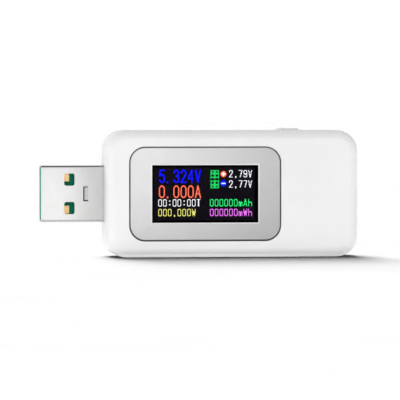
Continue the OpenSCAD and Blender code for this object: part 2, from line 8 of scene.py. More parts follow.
import bmesh
import bpy
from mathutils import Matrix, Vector


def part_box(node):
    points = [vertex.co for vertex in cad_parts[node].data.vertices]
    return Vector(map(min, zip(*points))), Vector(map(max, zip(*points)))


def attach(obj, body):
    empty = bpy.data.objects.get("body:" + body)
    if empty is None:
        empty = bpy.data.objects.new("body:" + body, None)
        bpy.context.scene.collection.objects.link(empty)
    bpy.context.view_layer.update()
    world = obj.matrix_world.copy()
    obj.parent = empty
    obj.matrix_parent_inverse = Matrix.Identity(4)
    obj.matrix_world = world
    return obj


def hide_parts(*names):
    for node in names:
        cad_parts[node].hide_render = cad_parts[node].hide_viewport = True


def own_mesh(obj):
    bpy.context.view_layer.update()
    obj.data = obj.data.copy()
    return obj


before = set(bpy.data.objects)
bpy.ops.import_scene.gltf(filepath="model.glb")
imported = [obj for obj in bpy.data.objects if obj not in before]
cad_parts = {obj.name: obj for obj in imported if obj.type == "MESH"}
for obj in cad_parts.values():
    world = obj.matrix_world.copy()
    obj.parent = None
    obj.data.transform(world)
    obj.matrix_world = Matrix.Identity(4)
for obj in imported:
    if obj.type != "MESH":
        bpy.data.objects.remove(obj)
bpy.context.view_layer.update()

MM = 0.001
HOUSING = "housing"

for leftover in ("Cube", "Light", "Camera"):
    if leftover in bpy.data.objects:
        bpy.data.objects.remove(bpy.data.objects[leftover])


# ---------- places, all taken from the frame ----------

def centre(node):
    low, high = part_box(node)
    return (low + high) / 2


def size(node):
    low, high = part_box(node)
    return high - low


PLATE = centre("trim_plate")
PLATE_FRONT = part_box("trim_plate")[0].y
LENS_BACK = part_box("display_window")[1].y
CELL_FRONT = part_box("lcd_cell")[0].y


# ---------- materials ----------

class Surface:
    """One material: a Principled shader, with short calls for the patterns that drive it."""

    def __init__(self, name, **values):
        self.material = bpy.data.materials.new(name)
        self.material.use_nodes = True
        self.tree = self.material.node_tree
        self.shader = self.tree.nodes["Principled BSDF"]
        for key, value in values.items():
            socket = key.replace("_", " ").title().replace("Ior", "IOR")
            self.shader.inputs[socket].default_value = value
        self.place = self.tree.nodes.new("ShaderNodeTexCoord").outputs["Object"]

    def node(self, kind, inputs=(), **settings):
        made = self.tree.nodes.new("ShaderNode" + kind)
        for key, value in settings.items():
            setattr(made, key, value)
        for key, value in dict(inputs).items():
            if isinstance(value, bpy.types.NodeSocket):
                self.tree.links.new(value, made.inputs[key])
            else:
                made.inputs[key].default_value = value
        return made

    def stretched(self, scale):
        """The place in the object, with each axis multiplied. A small factor draws grain out along it."""
        return self.node("Mapping", {"Vector": self.place, "Scale": scale}).outputs["Vector"]

    def noise(self, grain, detail=3.0, stretch=(1, 1, 1)):
        """Noise from 0 to 1 whose features are about as large as grain."""
        vector = self.stretched(stretch)
        inputs = {"Vector": vector, "Scale": 1 / grain, "Detail": detail}
        return self.node("TexNoise", inputs).outputs["Fac"]

    def spread(self, factor, low, high):
        """Maps the middle of a noise, 0.3 to 0.7, to the range from low to high."""
        inputs = {"Value": factor, "From Min": 0.3, "From Max": 0.7, "To Min": low, "To Max": high}
        return self.node("MapRange", inputs).outputs["Result"]

    def mix(self, factor, a, b, blend="MIX"):
        made = self.node("Mix", data_type="RGBA", blend_type=blend)
        for key, value in (("Factor", factor), ("A", a), ("B", b)):
            socket = next(s for s in made.inputs if s.name == key and s.enabled)
            if isinstance(value, bpy.types.NodeSocket):
                self.tree.links.new(value, socket)
            else:
                socket.default_value = value
        return next(s for s in made.outputs if s.enabled)

    def drive(self, socket, source):
        self.tree.links.new(source, self.shader.inputs[socket])
        return self

    def bump(self, *layers):
        """Adds bumps one on another. Each layer is a height from 0 to 1 and its real depth."""
        normal = None
        for height, depth in layers:
            inputs = {"Height": height, "Distance": depth, "Strength": 1.0}
            if normal:
                inputs["Normal"] = normal
            normal = self.node("Bump", inputs).outputs["Normal"]
        return self.drive("Normal", normal)


def grey(level, tint=(1, 1, 1)):
    return (level * tint[0], level * tint[1], level * tint[2], 1)


def moulded_plastic(name, colour, roughness, grain=0.16 * MM, depth=3e-6, variation=0.03, **values):
    """Moulded plastic: a fine spark-eroded texture and slow changes in tone and gloss."""
    s = Surface(name, **values)
    slow = s.noise(9 * MM, 2)
    fine = s.noise(grain, 2)
    darker = tuple(c * (1 - variation) for c in colour[:3]) + (1,)
    s.drive("Base Color", s.mix(s.spread(slow, 0, 1), darker, colour))
    s.drive("Roughness", s.spread(s.noise(1.4 * MM, 4), roughness - 0.05, roughness + 0.05))
    s.bump((fine, depth), (s.noise(0.9 * MM, 2), depth * 0.6))
    return s.material


def rolled_steel(name, level, roughness, along=(0.06, 1, 1), **values):
    """Plated sheet steel: fine streaks along the rolling direction and faint stains."""
    s = Surface(name, metallic=1.0, **values)
    streak = s.noise(0.04 * MM, 4, along)
    stain = s.noise(2.4 * MM, 3)
    stained = grey(level * 0.97, (1, 0.995, 0.985))
    s.drive("Base Color", s.mix(s.spread(stain, 0, 1), stained, grey(level)))
    s.drive("Roughness", s.spread(streak, roughness - 0.012, roughness + 0.015))
    s.bump((streak, 0.02e-6))
    return s.material


def silver_paint(name):
    """Satin silver paint on a thin plate: metal flake in a clear binder."""
    s = Surface(name, metallic=0.85, coat_weight=0.12, coat_roughness=0.25)
    flake = s.node("TexVoronoi", {"Vector": s.place, "Scale": 1 / (0.07 * MM)}).outputs["Distance"]
    tone = s.mix(s.spread(s.noise(6 * MM, 2), 0, 1), grey(0.475), grey(0.502))
    s.drive("Base Color", s.mix(s.spread(flake, 0, 0.35), tone, grey(0.52)))
    s.drive("Roughness", s.spread(s.noise(0.3 * MM, 3), 0.34, 0.42))
    s.bump((flake, 0.8e-6))
    return s.material


def pale_bevel_highlight(name):
    """Near-white skin for the bevel round the window: its pale colour is a painted highlight, the bright
    line that the bevel catches, with fine marks.
    """
    s = Surface(name, metallic=0.2)
    marks = s.noise(0.05 * MM, 3)
    s.drive("Base Color", s.mix(s.spread(marks, 0, 1), grey(0.93), grey(0.97)))
    s.drive("Roughness", s.spread(marks, 0.5, 0.6))
    s.bump((marks, 0.5e-6))
    return s.material


def gold_plate(name):
    """Thin gold plating, worn a little darker along its length."""
    s = Surface(name, metallic=1.0)
    wear = s.noise(0.5 * MM, 4, (0.15, 1, 1))
    s.drive("Base Color", s.mix(s.spread(wear, 0, 1), (0.78, 0.50, 0.20, 1), (0.90, 0.68, 0.34, 1)))
    s.drive("Roughness", s.spread(s.noise(0.08 * MM, 3, (0.1, 1, 1)), 0.16, 0.3))
    s.bump((wear, 1e-6))
    return s.material


def solder_mask(name):
    """Green lacquer over copper tracks, which run side by side with bends and stand up a little."""
    s = Surface(name, coat_weight=0.5, coat_roughness=0.12)
    cells = s.node("TexVoronoi", {"Vector": s.stretched((1, 0, 1)), "Scale": 1 / (4.5 * MM)},
                   distance="MANHATTAN")
    tracks_per_cell = 9
    turns = 2 * math.pi * tracks_per_cell
    wave = s.node("Math", {0: cells.outputs["Distance"], 1: turns}, operation="MULTIPLY")
    ridge = s.node("Math", {0: wave.outputs[0]}, operation="SINE")
    track = s.node("MapRange", {"Value": ridge.outputs[0], "From Min": 0.1, "From Max": 0.35})
    lit = s.mix(track.outputs[0], (0.004, 0.075, 0.03, 1), (0.012, 0.16, 0.06, 1))
    s.drive("Base Color", s.mix(s.spread(s.noise(3 * MM, 3), 0, 0.25), lit, (0.003, 0.06, 0.03, 1)))
    s.drive("Roughness", s.spread(s.noise(1 * MM, 3), 0.32, 0.45))
    s.bump((track.outputs[0], 18e-6))
    return s.material


def tinned(name):
    """Tinned leads: uneven in tone and gloss."""
    s = Surface(name, metallic=1.0)
    s.drive("Base Color", s.mix(s.spread(s.noise(0.35 * MM, 4), 0, 1), grey(0.5), grey(0.68)))
    s.drive("Roughness", s.spread(s.noise(0.12 * MM, 3), 0.28, 0.48))
    s.bump((s.noise(0.06 * MM, 3), 1.5e-6))
    return s.material


def moulding_compound(name):
    """Black chip package: sandy, matt, with lighter filler grains."""
    s = Surface(name, specular_ior_level=0.35)
    grains = s.noise(0.05 * MM, 4)
    s.drive("Base Color", s.mix(s.spread(grains, 0, 1), grey(0.012), grey(0.03)))
    s.drive("Roughness", s.spread(s.noise(0.4 * MM, 3), 0.5, 0.68))
    s.bump((grains, 4e-6))
    return s.material


def fired_ceramic(name, colour):
    """Ceramic body of a small part, with paler specks."""
    s = Surface(name)
    speck = s.noise(0.06 * MM, 3)
    paler = tuple(min(1, c * 1.35) for c in colour[:3]) + (1,)
    s.drive("Base Color", s.mix(s.spread(speck, 0, 1), colour, paler))
    s.drive("Roughness", s.spread(speck, 0.4, 0.6))
    s.bump((speck, 3e-6))
    return s.material


def foam_rubber(name):
    """Black foam with open pores."""
    s = Surface(name, sheen_weight=0.3)
    pores = s.node("TexVoronoi", {"Vector": s.place, "Scale": 1 / (0.28 * MM)}).outputs["Distance"]
    s.drive("Base Color", s.mix(s.spread(pores, 0, 1), grey(0.006), grey(0.035)))
    s.drive("Roughness", s.spread(pores, 0.8, 0.95))
    s.bump((pores, 60e-6))
    return s.material


def amber_film(name):
    """Polyimide film over etched copper runs that lie side by side across its width."""
    s = Surface(name, coat_weight=0.3, coat_roughness=0.15)
    runs = s.node("TexWave", {"Vector": s.place, "Scale": 1 / (9 * MM)}, bands_direction="Z")
    s.drive("Base Color", s.mix(runs.outputs["Fac"], (0.24, 0.08, 0.01, 1), (0.55, 0.26, 0.05, 1)))
    s.drive("Roughness", s.spread(s.noise(0.8 * MM, 3), 0.25, 0.4))
    s.bump((runs.outputs["Fac"], 6e-6))
    return s.material


def clear_window(name):
    """Clear window with a coating against reflections, so it mirrors little."""
    s = Surface(name, base_color=(0.96, 0.97, 0.98, 1), transmission_weight=1.0, ior=1.05)
    s.drive("Roughness", s.spread(s.noise(4 * MM, 2), 0.0, 0.02))
    return s.material


def display_dark(name, glow):
    """Unlit part of the display: near black, with a little of the backlight coming through."""
    s = Surface(name, specular_ior_level=0.0, emission_strength=1.0)
    cloud = s.noise(5 * MM, 2)
    s.drive("Base Color", s.mix(s.spread(cloud, 0, 1), grey(0.001), grey(0.002)))
    dim = tuple(c * 0.8 for c in glow[:3]) + (1,)
    s.drive("Emission Color", s.mix(s.spread(cloud, 0, 1), dim, glow))
    s.drive("Roughness", s.spread(s.noise(1 * MM, 2), 0.3, 0.4))
    return s.material


def lit_dots(name, colour, strength=1.0):
    """Lit dots: their brightness differs a little from dot to dot, as the backlight shows through."""
    s = Surface(name, base_color=grey(0.002), roughness=0.5, specular_ior_level=0.0,
                emission_strength=strength)
    cloud = s.noise(0.4 * MM, 2)
    dim = tuple(c * 0.86 for c in colour[:3]) + (1,)
    s.drive("Emission Color", s.mix(s.spread(cloud, 0, 1), dim, colour))
    return s.material


white_plastic = moulded_plastic("white_plastic", grey(0.90), 0.42)
button_plastic = moulded_plastic("button_plastic", grey(0.89), 0.36, depth=1.5e-6)
green_plastic = moulded_plastic("green_plastic", (0.001, 0.40, 0.23, 1), 0.45, depth=2e-6,
                                variation=0.12, specular_ior_level=0.12)
black_plastic = moulded_plastic("black_plastic", grey(0.012), 0.5, depth=3e-6, variation=0.2)
ivory_plastic = moulded_plastic("ivory_plastic", (0.72, 0.70, 0.62, 1), 0.42)
light_guide = moulded_plastic("light_guide", grey(0.8), 0.5, variation=0.05)
tape = moulded_plastic("tape", grey(0.1), 0.8, depth=8e-6, variation=0.3)
silver = silver_paint("silver_paint")
plated_steel = rolled_steel("plated_steel", 0.55, 0.26)
spring_steel = rolled_steel("spring_steel", 0.6, 0.3, (1, 1, 1))
gold = gold_plate("gold_plate")
mask = solder_mask("solder_mask")
tin = tinned("tin_plate")
package = moulding_compound("moulding_compound")
tan_ceramic = fired_ceramic("tan_ceramic", (0.30, 0.17, 0.08, 1))
black_glaze = fired_ceramic("black_glaze", (0.014, 0.014, 0.018, 1))
foam = foam_rubber("foam_rubber")
film = amber_film("amber_film")
window = clear_window("clear_window")
cell_dark = display_dark("cell_dark", (0.0002, 0.0002, 0.0003, 1))

FINISH = {
    white_plastic: ["front_cover", "rear_cover"],
    button_plastic: ["button_cap"],
    silver: ["trim_plate"],
    tape: ["trim_adhesive"],
    window: ["display_window"],
    cell_dark: ["lcd_cell"],
    package: ["lcd_driver_chip", "controller_chip", "amplifier_chip", "regulator", "shunt_resistor"],
    light_guide: ["lcd_backlight"],
    film: ["lcd_ribbon"],
    foam: ["foam_strips"],
    mask: ["main_board"],
    plated_steel: ["plug_shell", "socket_shell", "switch_frame", "crystal"],
    green_plastic: ["plug_insulator", "socket_insulator"],
    gold: ["plug_contacts", "socket_contacts"],
    black_plastic: ["switch_body"],
    ivory_plastic: ["switch_plunger"],
    spring_steel: ["switch_dome"],
    tin: ["switch_terminals", "controller_pins", "amplifier_pins", "regulator_leads",
          "shunt_terminals", "passive_end_caps"],
    tan_ceramic: ["chip_capacitors"],
    black_glaze: ["chip_resistors"],
}
for finish, nodes in FINISH.items():
    for name in nodes:
        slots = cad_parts[name].material_slots
        for slot in slots:
            slot.material = finish


# ---------- edges of the CAD parts ----------

# How far each part's sharp edges are rounded off, in millimetres
EDGE = {
    "front_cover": 0.12, "rear_cover": 0.12, "trim_plate": 0.16, "button_cap": 0.06,
    "plug_shell": 0.05, "socket_shell": 0.05, "plug_insulator": 0.05, "socket_insulator": 0.05,
    "plug_contacts": 0.09, "socket_contacts": 0.03, "main_board": 0.05, "controller_chip": 0.05,
    "amplifier_chip": 0.05, "regulator": 0.06, "shunt_resistor": 0.05, "shunt_terminals": 0.06,
    "crystal": 0.08, "chip_capacitors": 0.06, "passive_end_caps": 0.06, "chip_resistors": 0.04,
    "switch_body": 0.08, "switch_frame": 0.05, "switch_plunger": 0.05, "lcd_backlight": 0.15,
    "foam_strips": 0.2, "display_window": 0.06,
}

# An edge that turns by more than this many degrees is sharp. The plate's bevel turns by less than
# the plate's own value, so it stays crisp.
SHARP_TURN = 35
OWN_SHARP_TURN = {"trim_plate": 60}
WELD_GAP = 1e-7


def soften(node, width):
    """Joins the split corners of a CAD mesh, rounds its sharp edges and keeps its flats flat."""
    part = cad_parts[node]
    weld = part.modifiers.new("weld", "WELD")
    weld.merge_threshold = WELD_GAP
    round_off = part.modifiers.new("round_off", "BEVEL")
    round_off.width = width * MM
    round_off.segments = 3
    round_off.limit_method = "ANGLE"
    round_off.angle_limit = math.radians(OWN_SHARP_TURN.get(node, SHARP_TURN))
    round_off.use_clamp_overlap = True
    round_off.harden_normals = False
    shade = part.modifiers.new("shade", "WEIGHTED_NORMAL")
    shade.keep_sharp = True


for name, width in EDGE.items():
    soften(name, width)


# ---------- mesh helpers ----------

def add_piece(name, mesh_maker, material, body=HOUSING):
    """Makes a mesh piece from a function that fills a bmesh, and lets it ride on a body."""
    mesh = bpy.data.meshes.new(name)
    shape = bmesh.new()
    mesh_maker(shape)
    bmesh.ops.recalc_face_normals(shape, faces=shape.faces)
    shape.to_mesh(mesh)
    shape.free()
    mesh.materials.append(material)
    piece = bpy.data.objects.new(name, mesh)
    bpy.context.scene.collection.objects.link(piece)
    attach(piece, body)
    return piece


def add_block(shape, low, high):
    """Adds a closed box with the given lowest and highest corners."""
    corners = [
        shape.verts.new((x, y, z))
        for x in (low[0], high[0]) for y in (low[1], high[1]) for z in (low[2], high[2])
    ]
    for face in ((0, 1, 3, 2), (4, 6, 7, 5), (0, 4, 5, 1), (2, 3, 7, 6), (0, 2, 6, 4), (1, 5, 7, 3)):
        shape.faces.new([corners[i] for i in face])


def join_rings(shape, a, b):
    """Adds the band of faces between two rings with the same number of corners."""
    for i in range(len(a)):
        j = (i + 1) % len(a)
        shape.faces.new((a[i], a[j], b[j], b[i]))


# ---------- the snap dome, made as a shallow cap ---------------------

DOME_LOW, DOME_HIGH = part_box("switch_dome")
DOME_THICK = 0.08 * MM
# Rings from the top point to the rim, and corners round each ring
DOME_RINGS, DOME_SIDES = 10, 48


def dome_skin(shape, middle, radius):
    """One side of the shell, part of a ball: its top point and its rings from there to the rim."""
    widest = math.acos((DOME_LOW.z - middle.z) / radius)
    turns = [2 * math.pi * i / DOME_SIDES for i in range(DOME_SIDES)]
    top = shape.verts.new(middle + Vector((0, 0, radius)))
    rings = []
    for i in range(1, DOME_RINGS + 1):
        tilt = widest * i / DOME_RINGS
        out, up = radius * math.sin(tilt), radius * math.cos(tilt)
        rings.append([
            shape.verts.new(middle + Vector((out * math.cos(turn), out * math.sin(turn), up)))
            for turn in turns
        ])
    return top, rings


def snap_dome(shape):
    """A shallow cap of spring steel, as a closed shell with a flat rim."""
    foot_radius = (DOME_HIGH.x - DOME_LOW.x) / 2
    rise = DOME_HIGH.z - DOME_LOW.z
    ball = (foot_radius ** 2 + rise ** 2) / (2 * rise)
    axis_x, axis_y = (DOME_LOW.x + DOME_HIGH.x) / 2, (DOME_LOW.y + DOME_HIGH.y) / 2
    middle = Vector((axis_x, axis_y, DOME_HIGH.z - ball))
    rims = []
    for radius in (ball, ball - DOME_THICK):
        top, rings = dome_skin(shape, middle, radius)
        for i in range(DOME_SIDES):
            shape.faces.new((top, rings[0][i], rings[0][(i + 1) % DOME_SIDES]))
        for upper, lower in zip(rings, rings[1:]):
            join_rings(shape, upper, lower)
        rims.append(rings[-1])
    join_rings(shape, *rims)


dome = add_piece("snap_dome", snap_dome, spring_steel)
for face in dome.data.polygons:
    face.use_smooth = True
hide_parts("switch_dome")
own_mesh(dome)


# ---------- what the display shows ----------

# The display has 160 x 80 dots. Places on it are counted in dots from its top left corner.
DOTS_ACROSS, DOTS_DOWN = 160, 80
DOT = 0.1287 * MM
DOT_FILL = 0.92
DOT_THICK = 0.02 * MM
READOUT_Y = CELL_FRONT - 0.03 * MM
PLAIN_GLOW = 1.2
# Curves in the signs are made of steps of about this many degrees
ARC_STEP = 15


def arc(cx, cy, rx, ry, start, end):
    """Points along an ellipse from one angle to another, in degrees, with y pointing down."""
    count = max(2, round(abs(end - start) / ARC_STEP))
    turns = [math.radians(start + (end - start) * i / count) for i in range(count + 1)]
    return [(cx + rx * math.cos(a), cy + ry * math.sin(a)) for a in turns]


# Strokes of each sign in a box from 0 to 1, with y pointing down. A lone point is a round dot.
STROKES = {
    "0": [arc(0.5, 0.3, 0.5, 0.3, 180, 360) + arc(0.5, 0.7, 0.5, 0.3, 0, 180) + [(0, 0.3)]],
    "2": [arc(0.5, 0.27, 0.48, 0.27, 190, 380) + [(0, 1), (1, 1)]],
    "3": [arc(0.5, 0.25, 0.46, 0.25, 190, 450) + arc(0.5, 0.74, 0.5, 0.26, 270, 530)],
    "4": [[(0.72, 1), (0.72, 0), (0, 0.7), (1, 0.7)]],
    "5": [[(0.95, 0), (0.14, 0), (0.08, 0.45)] + arc(0.5, 0.68, 0.5, 0.32, 225, 515)],
    "7": [[(0, 0), (1, 0), (0.4, 1)]],
    "9": [arc(0.5, 0.3, 0.5, 0.3, 0, 360) + arc(0.5, 0.7, 0.5, 0.3, 0, 150)],
    "V": [[(0, 0), (0.5, 1), (1, 0)]],
    "A": [[(0, 1), (0.5, 0), (1, 1)], [(0.2, 0.7), (0.8, 0.7)]],
    "W": [[(0, 0), (0.2, 1), (0.5, 0.3), (0.8, 1), (1, 0)]],
    "T": [[(0, 0), (1, 0)], [(0.5, 0), (0.5, 1)]],
    "m": [
        [(0, 0.4), (0, 1)],
        [(0, 0.5), (0.25, 0.4), (0.5, 0.5), (0.5, 1)],
        [(0.5, 0.5), (0.75, 0.4), (1, 0.5), (1, 1)],
    ],
    "h": [[(0, 0), (0, 1)], arc(0.5, 0.6, 0.5, 0.2, 200, 360) + [(1, 1)]],
    ".": [[(0.5, 1)]],
    ",": [[(0.15, 1)]],
    ":": [[(0.5, 0.25)], [(0.5, 0.8)]],
}
# Step from sign to sign, width and height of the box of strokes, half the width of a stroke, radius
# of a point and how strongly it glows
SMALL = {"step": 8, "width": 5, "height": 11, "half": 0.62, "point": 1.3, "glow": 1.35}
LARGE = {"step": 12, "width": 8, "height": 20, "half": 1.25, "point": 1.6, "glow": 1.5}
SLIM = {"step": 12, "width": 8, "height": 19, "half": 1.05, "point": 1.6, "glow": 1.4}


def distance(point, a, b):
    """Distance from a point to the stretch from a to b."""
    run = Vector(b) - Vector(a)
    t = 0.0
    if run.length_squared:
        t = max(0.0, min(1.0, (Vector(point) - Vector(a)).dot(run) / run.length_squared))
    return (Vector(point) - Vector(a) - t * run).length


def sign_dots(sign, cx, cy, font):
    """The dots that one sign lights, with the middle of its box at cx, cy."""
    found = set()
    w, h = font["width"], font["height"]
    for stroke in STROKES[sign]:
        line = [(cx + (u - 0.5) * w, cy + (v - 0.5) * h) for u, v in stroke]
        pairs = list(zip(line, line[1:])) or [(line[0], line[0])]
        reach = font["half"] if len(line) > 1 else font["point"]
        for x in range(int(cx - w), int(cx + w) + 1):
            for y in range(int(cy - h), int(cy + h) + 1):
                if any(distance((x + 0.5, y + 0.5), a, b) <= reach for a, b in pairs):
                    found.add((x, y))
    return found


def text_dots(text, cx, cy, font):
    """The dots of a row of signs. cx, cy is the middle of the first one."""
    rows = [sign_dots(sign, cx + i * font["step"], cy, font) for i, sign in enumerate(text)]
    return set().union(*rows)


def area_dots(inside):
    """The dots whose middles meet a rule."""
    return {
        (x, y) for x in range(DOTS_ACROSS) for y in range(DOTS_DOWN) if inside(x + 0.5, y + 0.5)
    }


def dot_place(x, y):
    """Where a place on the display, in dots, is in the frame."""
    return (PLATE.x + (x - DOTS_ACROSS / 2) * DOT, PLATE.z + (DOTS_DOWN / 2 - y) * DOT)


def add_dots(name, dots, colour, strength=PLAIN_GLOW):
    """Makes lit dots as thin square tiles, a little smaller than their pitch."""
    half = DOT * DOT_FILL / 2

    def tiles(shape):
        for column, row in sorted(dots):
            x, z = dot_place(column + 0.5, row + 0.5)
            add_block(shape, (x - half, READOUT_Y - DOT_THICK, z - half),
                      (x + half, READOUT_Y, z + half))

    return add_piece(name, tiles, lit_dots(name + "_glow", colour, strength))


BLUE = (0.003, 0.006, 1.0, 1)
ORANGE_RED = (1.0, 0.17, 0.09, 1)
WHITE = (0.95, 0.96, 1.0, 1)
YELLOW = (0.87, 0.82, 0.2, 1)
GREEN = (0.03, 1.0, 0.24, 1)
MAGENTA = (0.95, 0.2, 1.0, 1)
BADGE_RED = (1.0, 0.09, 0.01, 1)
BADGE_BLUE = (0.0, 0.02, 1.0, 1)
CELL_GREEN = (0.012, 0.72, 0.14, 1)

# The first sign's column in each group of readings, and the row of each line of text
LEFT_LARGE, LEFT_SMALL, RIGHT_SMALL, RIGHT_TOP = 9, 6, 92, 124
VOLTS_ROW, AMPS_ROW, THIRD_ROW, FOURTH_ROW = 11, 36.5, 55, 71
DATA_PLUS_ROW, DATA_MINUS_ROW = 7, 24
READINGS = [
    ("reading_volts", "5,324V", LEFT_LARGE, VOLTS_ROW, LARGE, BLUE),
    ("reading_amps", "0,000A", LEFT_LARGE, AMPS_ROW, SLIM, ORANGE_RED),
    ("reading_time", "00:00:00T", LEFT_SMALL, THIRD_ROW, SMALL, WHITE),
    ("reading_watts", "000.000W", LEFT_SMALL, FOURTH_ROW, SMALL, YELLOW),
    ("reading_charge", "000000mAh", RIGHT_SMALL, THIRD_ROW, SMALL, GREEN),
    ("reading_energy", "000000mWh", RIGHT_SMALL, FOURTH_ROW, SMALL, MAGENTA),
    ("reading_data_plus", "2.79V", RIGHT_TOP, DATA_PLUS_ROW, SMALL, WHITE),
    ("reading_data_minus", "2.77V", RIGHT_TOP, DATA_MINUS_ROW, SMALL, WHITE),
]
for name, text, cx, cy, font, colour in READINGS:
    add_dots(name, text_dots(text, cx, cy, font), colour, font["glow"])

# Round badges with a plus and a minus: each one's name, row, colour and whether it has an upright arm
BADGE_X, BADGE_R = 111.5, 5.1
ARM, ARM_HALF = 3.4, 1.1
BADGES = [("plus", 7.5, BADGE_RED, True), ("minus", 23, BADGE_BLUE, False)]
for name, cy, colour, has_upright in BADGES:
    level_arm = area_dots(lambda x, y: abs(x - BADGE_X) < ARM and abs(y - cy) < ARM_HALF)
    upright = area_dots(lambda x, y: abs(y - cy) < ARM and abs(x - BADGE_X) < ARM_HALF)
    symbol = level_arm | upright if has_upright else level_arm
    disc = area_dots(lambda x, y: math.hypot(x - BADGE_X, y - cy) < BADGE_R) - symbol
    add_dots(f"badge_{name}", disc, colour)
    add_dots(f"badge_{name}_symbol", symbol, WHITE)

# A green panel beside the badges, in dots
CELL_COLUMN = {"left": 90, "right": 104, "top": 1, "bottom": 31}
HOLE_COLUMNS = 2
HOLE_RADII = [1.5, 2.2, 2.6, 2.2, 1.5]
# A hole's height as a share of its width
HOLE_SQUEEZE = 0.85


def in_cell_column(x, y):
    """A green panel pierced by two rows of round holes."""
    c = CELL_COLUMN
    if not (c["left"] < x < c["right"] and c["top"] < y < c["bottom"]):
        return False
    row_step = (c["bottom"] - c["top"]) / len(HOLE_RADII)
    column_step = (c["right"] - c["left"]) / HOLE_COLUMNS
    row, dy = divmod(y - c["top"], row_step)
    dx = (x - c["left"]) % column_step - column_step / 2
    return math.hypot(dx * HOLE_SQUEEZE, dy - row_step / 2) > HOLE_RADII[int(row)]


add_dots("cell_column", area_dots(in_cell_column), CELL_GREEN)


# ---------- the rest of the display ----------

ACTIVE_MARGIN = 0.5 * MM
PANEL_THICK = 0.02 * MM
PANEL_GLOW = (0.0058, 0.0046, 0.0078, 1)


def display_panel(shape):
    """The dark sheet behind the lit dots."""
    half_w = DOTS_ACROSS * DOT / 2 + ACTIVE_MARGIN
    half_h = DOTS_DOWN * DOT / 2 + ACTIVE_MARGIN
    add_block(shape, (PLATE.x - half_w, READOUT_Y, PLATE.z - half_h),
              (PLATE.x + half_w, READOUT_Y + PANEL_THICK, PLATE.z + half_h))


add_piece("display_panel", display_panel, display_dark("panel_dark", PANEL_GLOW))

# The black frame: how far it reaches in over the opening and out behind the plate, and how it lies
# behind the window
MASK_INSET, MASK_OUTSET = 0.38 * MM, 0.5 * MM
MASK_GAP, MASK_THICK = 0.01 * MM, 0.02 * MM
# The opening in the plate, seen from the front
OPENING_W, OPENING_H = 22.75 * MM, 12.25 * MM
BEVEL, BEVEL_DEEP = 0.25 * MM, 0.12 * MM
RIM_PROUD, RIM_THICK = 0.012 * MM, 0.04 * MM


def add_frame(shape, section):
    """Adds a rectangular ring round the opening. Each corner of its section is given as how far it
    lies outside the opening and its depth along Y."""
    rings = []
    for outside, y in section:
        half_x, half_z = OPENING_W / 2 + outside, OPENING_H / 2 + outside
        rings.append([
            shape.verts.new((PLATE.x + sx * half_x, y, PLATE.z + sz * half_z))
            for sx, sz in ((-1, -1), (1, -1), (1, 1), (-1, 1))
        ])
    for a, b in zip(rings, rings[1:] + rings[:1]):
        join_rings(shape, a, b)


def window_mask(shape):
    """Black frame that lies just behind the window, round the opening."""
    y0 = LENS_BACK + MASK_GAP
    y1 = y0 + MASK_THICK
    add_frame(shape, [(MASK_OUTSET, y0), (MASK_OUTSET, y1), (-MASK_INSET, y1), (-MASK_INSET, y0)])


def window_rim(shape):
    """Skin on the bevel that runs round the opening in the plate, pale as a painted highlight."""
    y0 = PLATE_FRONT - RIM_PROUD
    y1 = y0 + BEVEL_DEEP
    add_frame(shape, [(BEVEL, y0), (0, y1), (0, y1 + RIM_THICK), (BEVEL, y0 + RIM_THICK)])


# Near-black finish of the frame that lies behind the window round the opening.
window_frame_black = moulded_plastic("window_frame_black", grey(0.001), 0.7, depth=0.5e-6, variation=0.3,
                            specular_ior_level=0.0)
add_piece("window_mask", window_mask, window_frame_black)
# The rim's near-white colour is a painted highlight along the bevel round the opening.
rim = add_piece("window_rim", window_rim, pale_bevel_highlight("pale_bevel_highlight"))


# ---------- camera, floor and light ----------

# The camera's turn to the plug's side and its height above the horizon, as angles
VIEW_TURN = math.radians(-6.7)
VIEW_RISE = math.radians(1.6)
DISTANCE = 0.9
FRAME_WIDTH = 85.65 * MM
SENSOR = 36.0
AIM = Vector((0.5 * MM, 0, 12.03 * MM))

scene = bpy.context.scene


def add_camera():
    """A long lens that looks at the front from a little above and towards the plug's side."""
    back = Vector((
        math.sin(VIEW_TURN) * math.cos(VIEW_RISE),
        -math.cos(VIEW_TURN) * math.cos(VIEW_RISE),
        math.sin(VIEW_RISE),
    ))
    camera = bpy.data.objects.new("camera", bpy.data.cameras.new("camera"))
    scene.collection.objects.link(camera)
    camera.data.sensor_width = SENSOR
    camera.data.lens = SENSOR * DISTANCE / FRAME_WIDTH
    camera.data.clip_start, camera.data.clip_end = 0.01, 10
    camera.location = AIM + back * DISTANCE
    camera.rotation_mode = "QUATERNION"
    camera.rotation_quaternion = (-back).to_track_quat("-Z", "Y")
    scene.camera = camera


def linked(name, pieces):
    """A collection of pieces that a light can be limited to."""
    group = bpy.data.collections.new(name)
    for piece in pieces:
        group.objects.link(piece)
    return group


def part_lights(name, *nodes):
    """A collection of CAD parts for a light of their own."""
    return linked(name, [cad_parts[node] for node in nodes])


def add_lamp(name, kind, watts, only, through=None, **settings):
    """A light that the camera doesn't see. It lights only one collection, and where a second one is
    given, nothing else casts a shadow in it."""
    data = bpy.data.lights.new(name, kind)
    data.energy = watts
    for key, value in settings.items():
        setattr(data, key, value)
    lamp = bpy.data.objects.new(name, data)
    scene.collection.objects.link(lamp)
    lamp.visible_camera = False
    lamp.rotation_mode = "QUATERNION"
    lamp.light_linking.receiver_collection = only
    if through:
        lamp.light_linking.blocker_collection = through
    return lamp


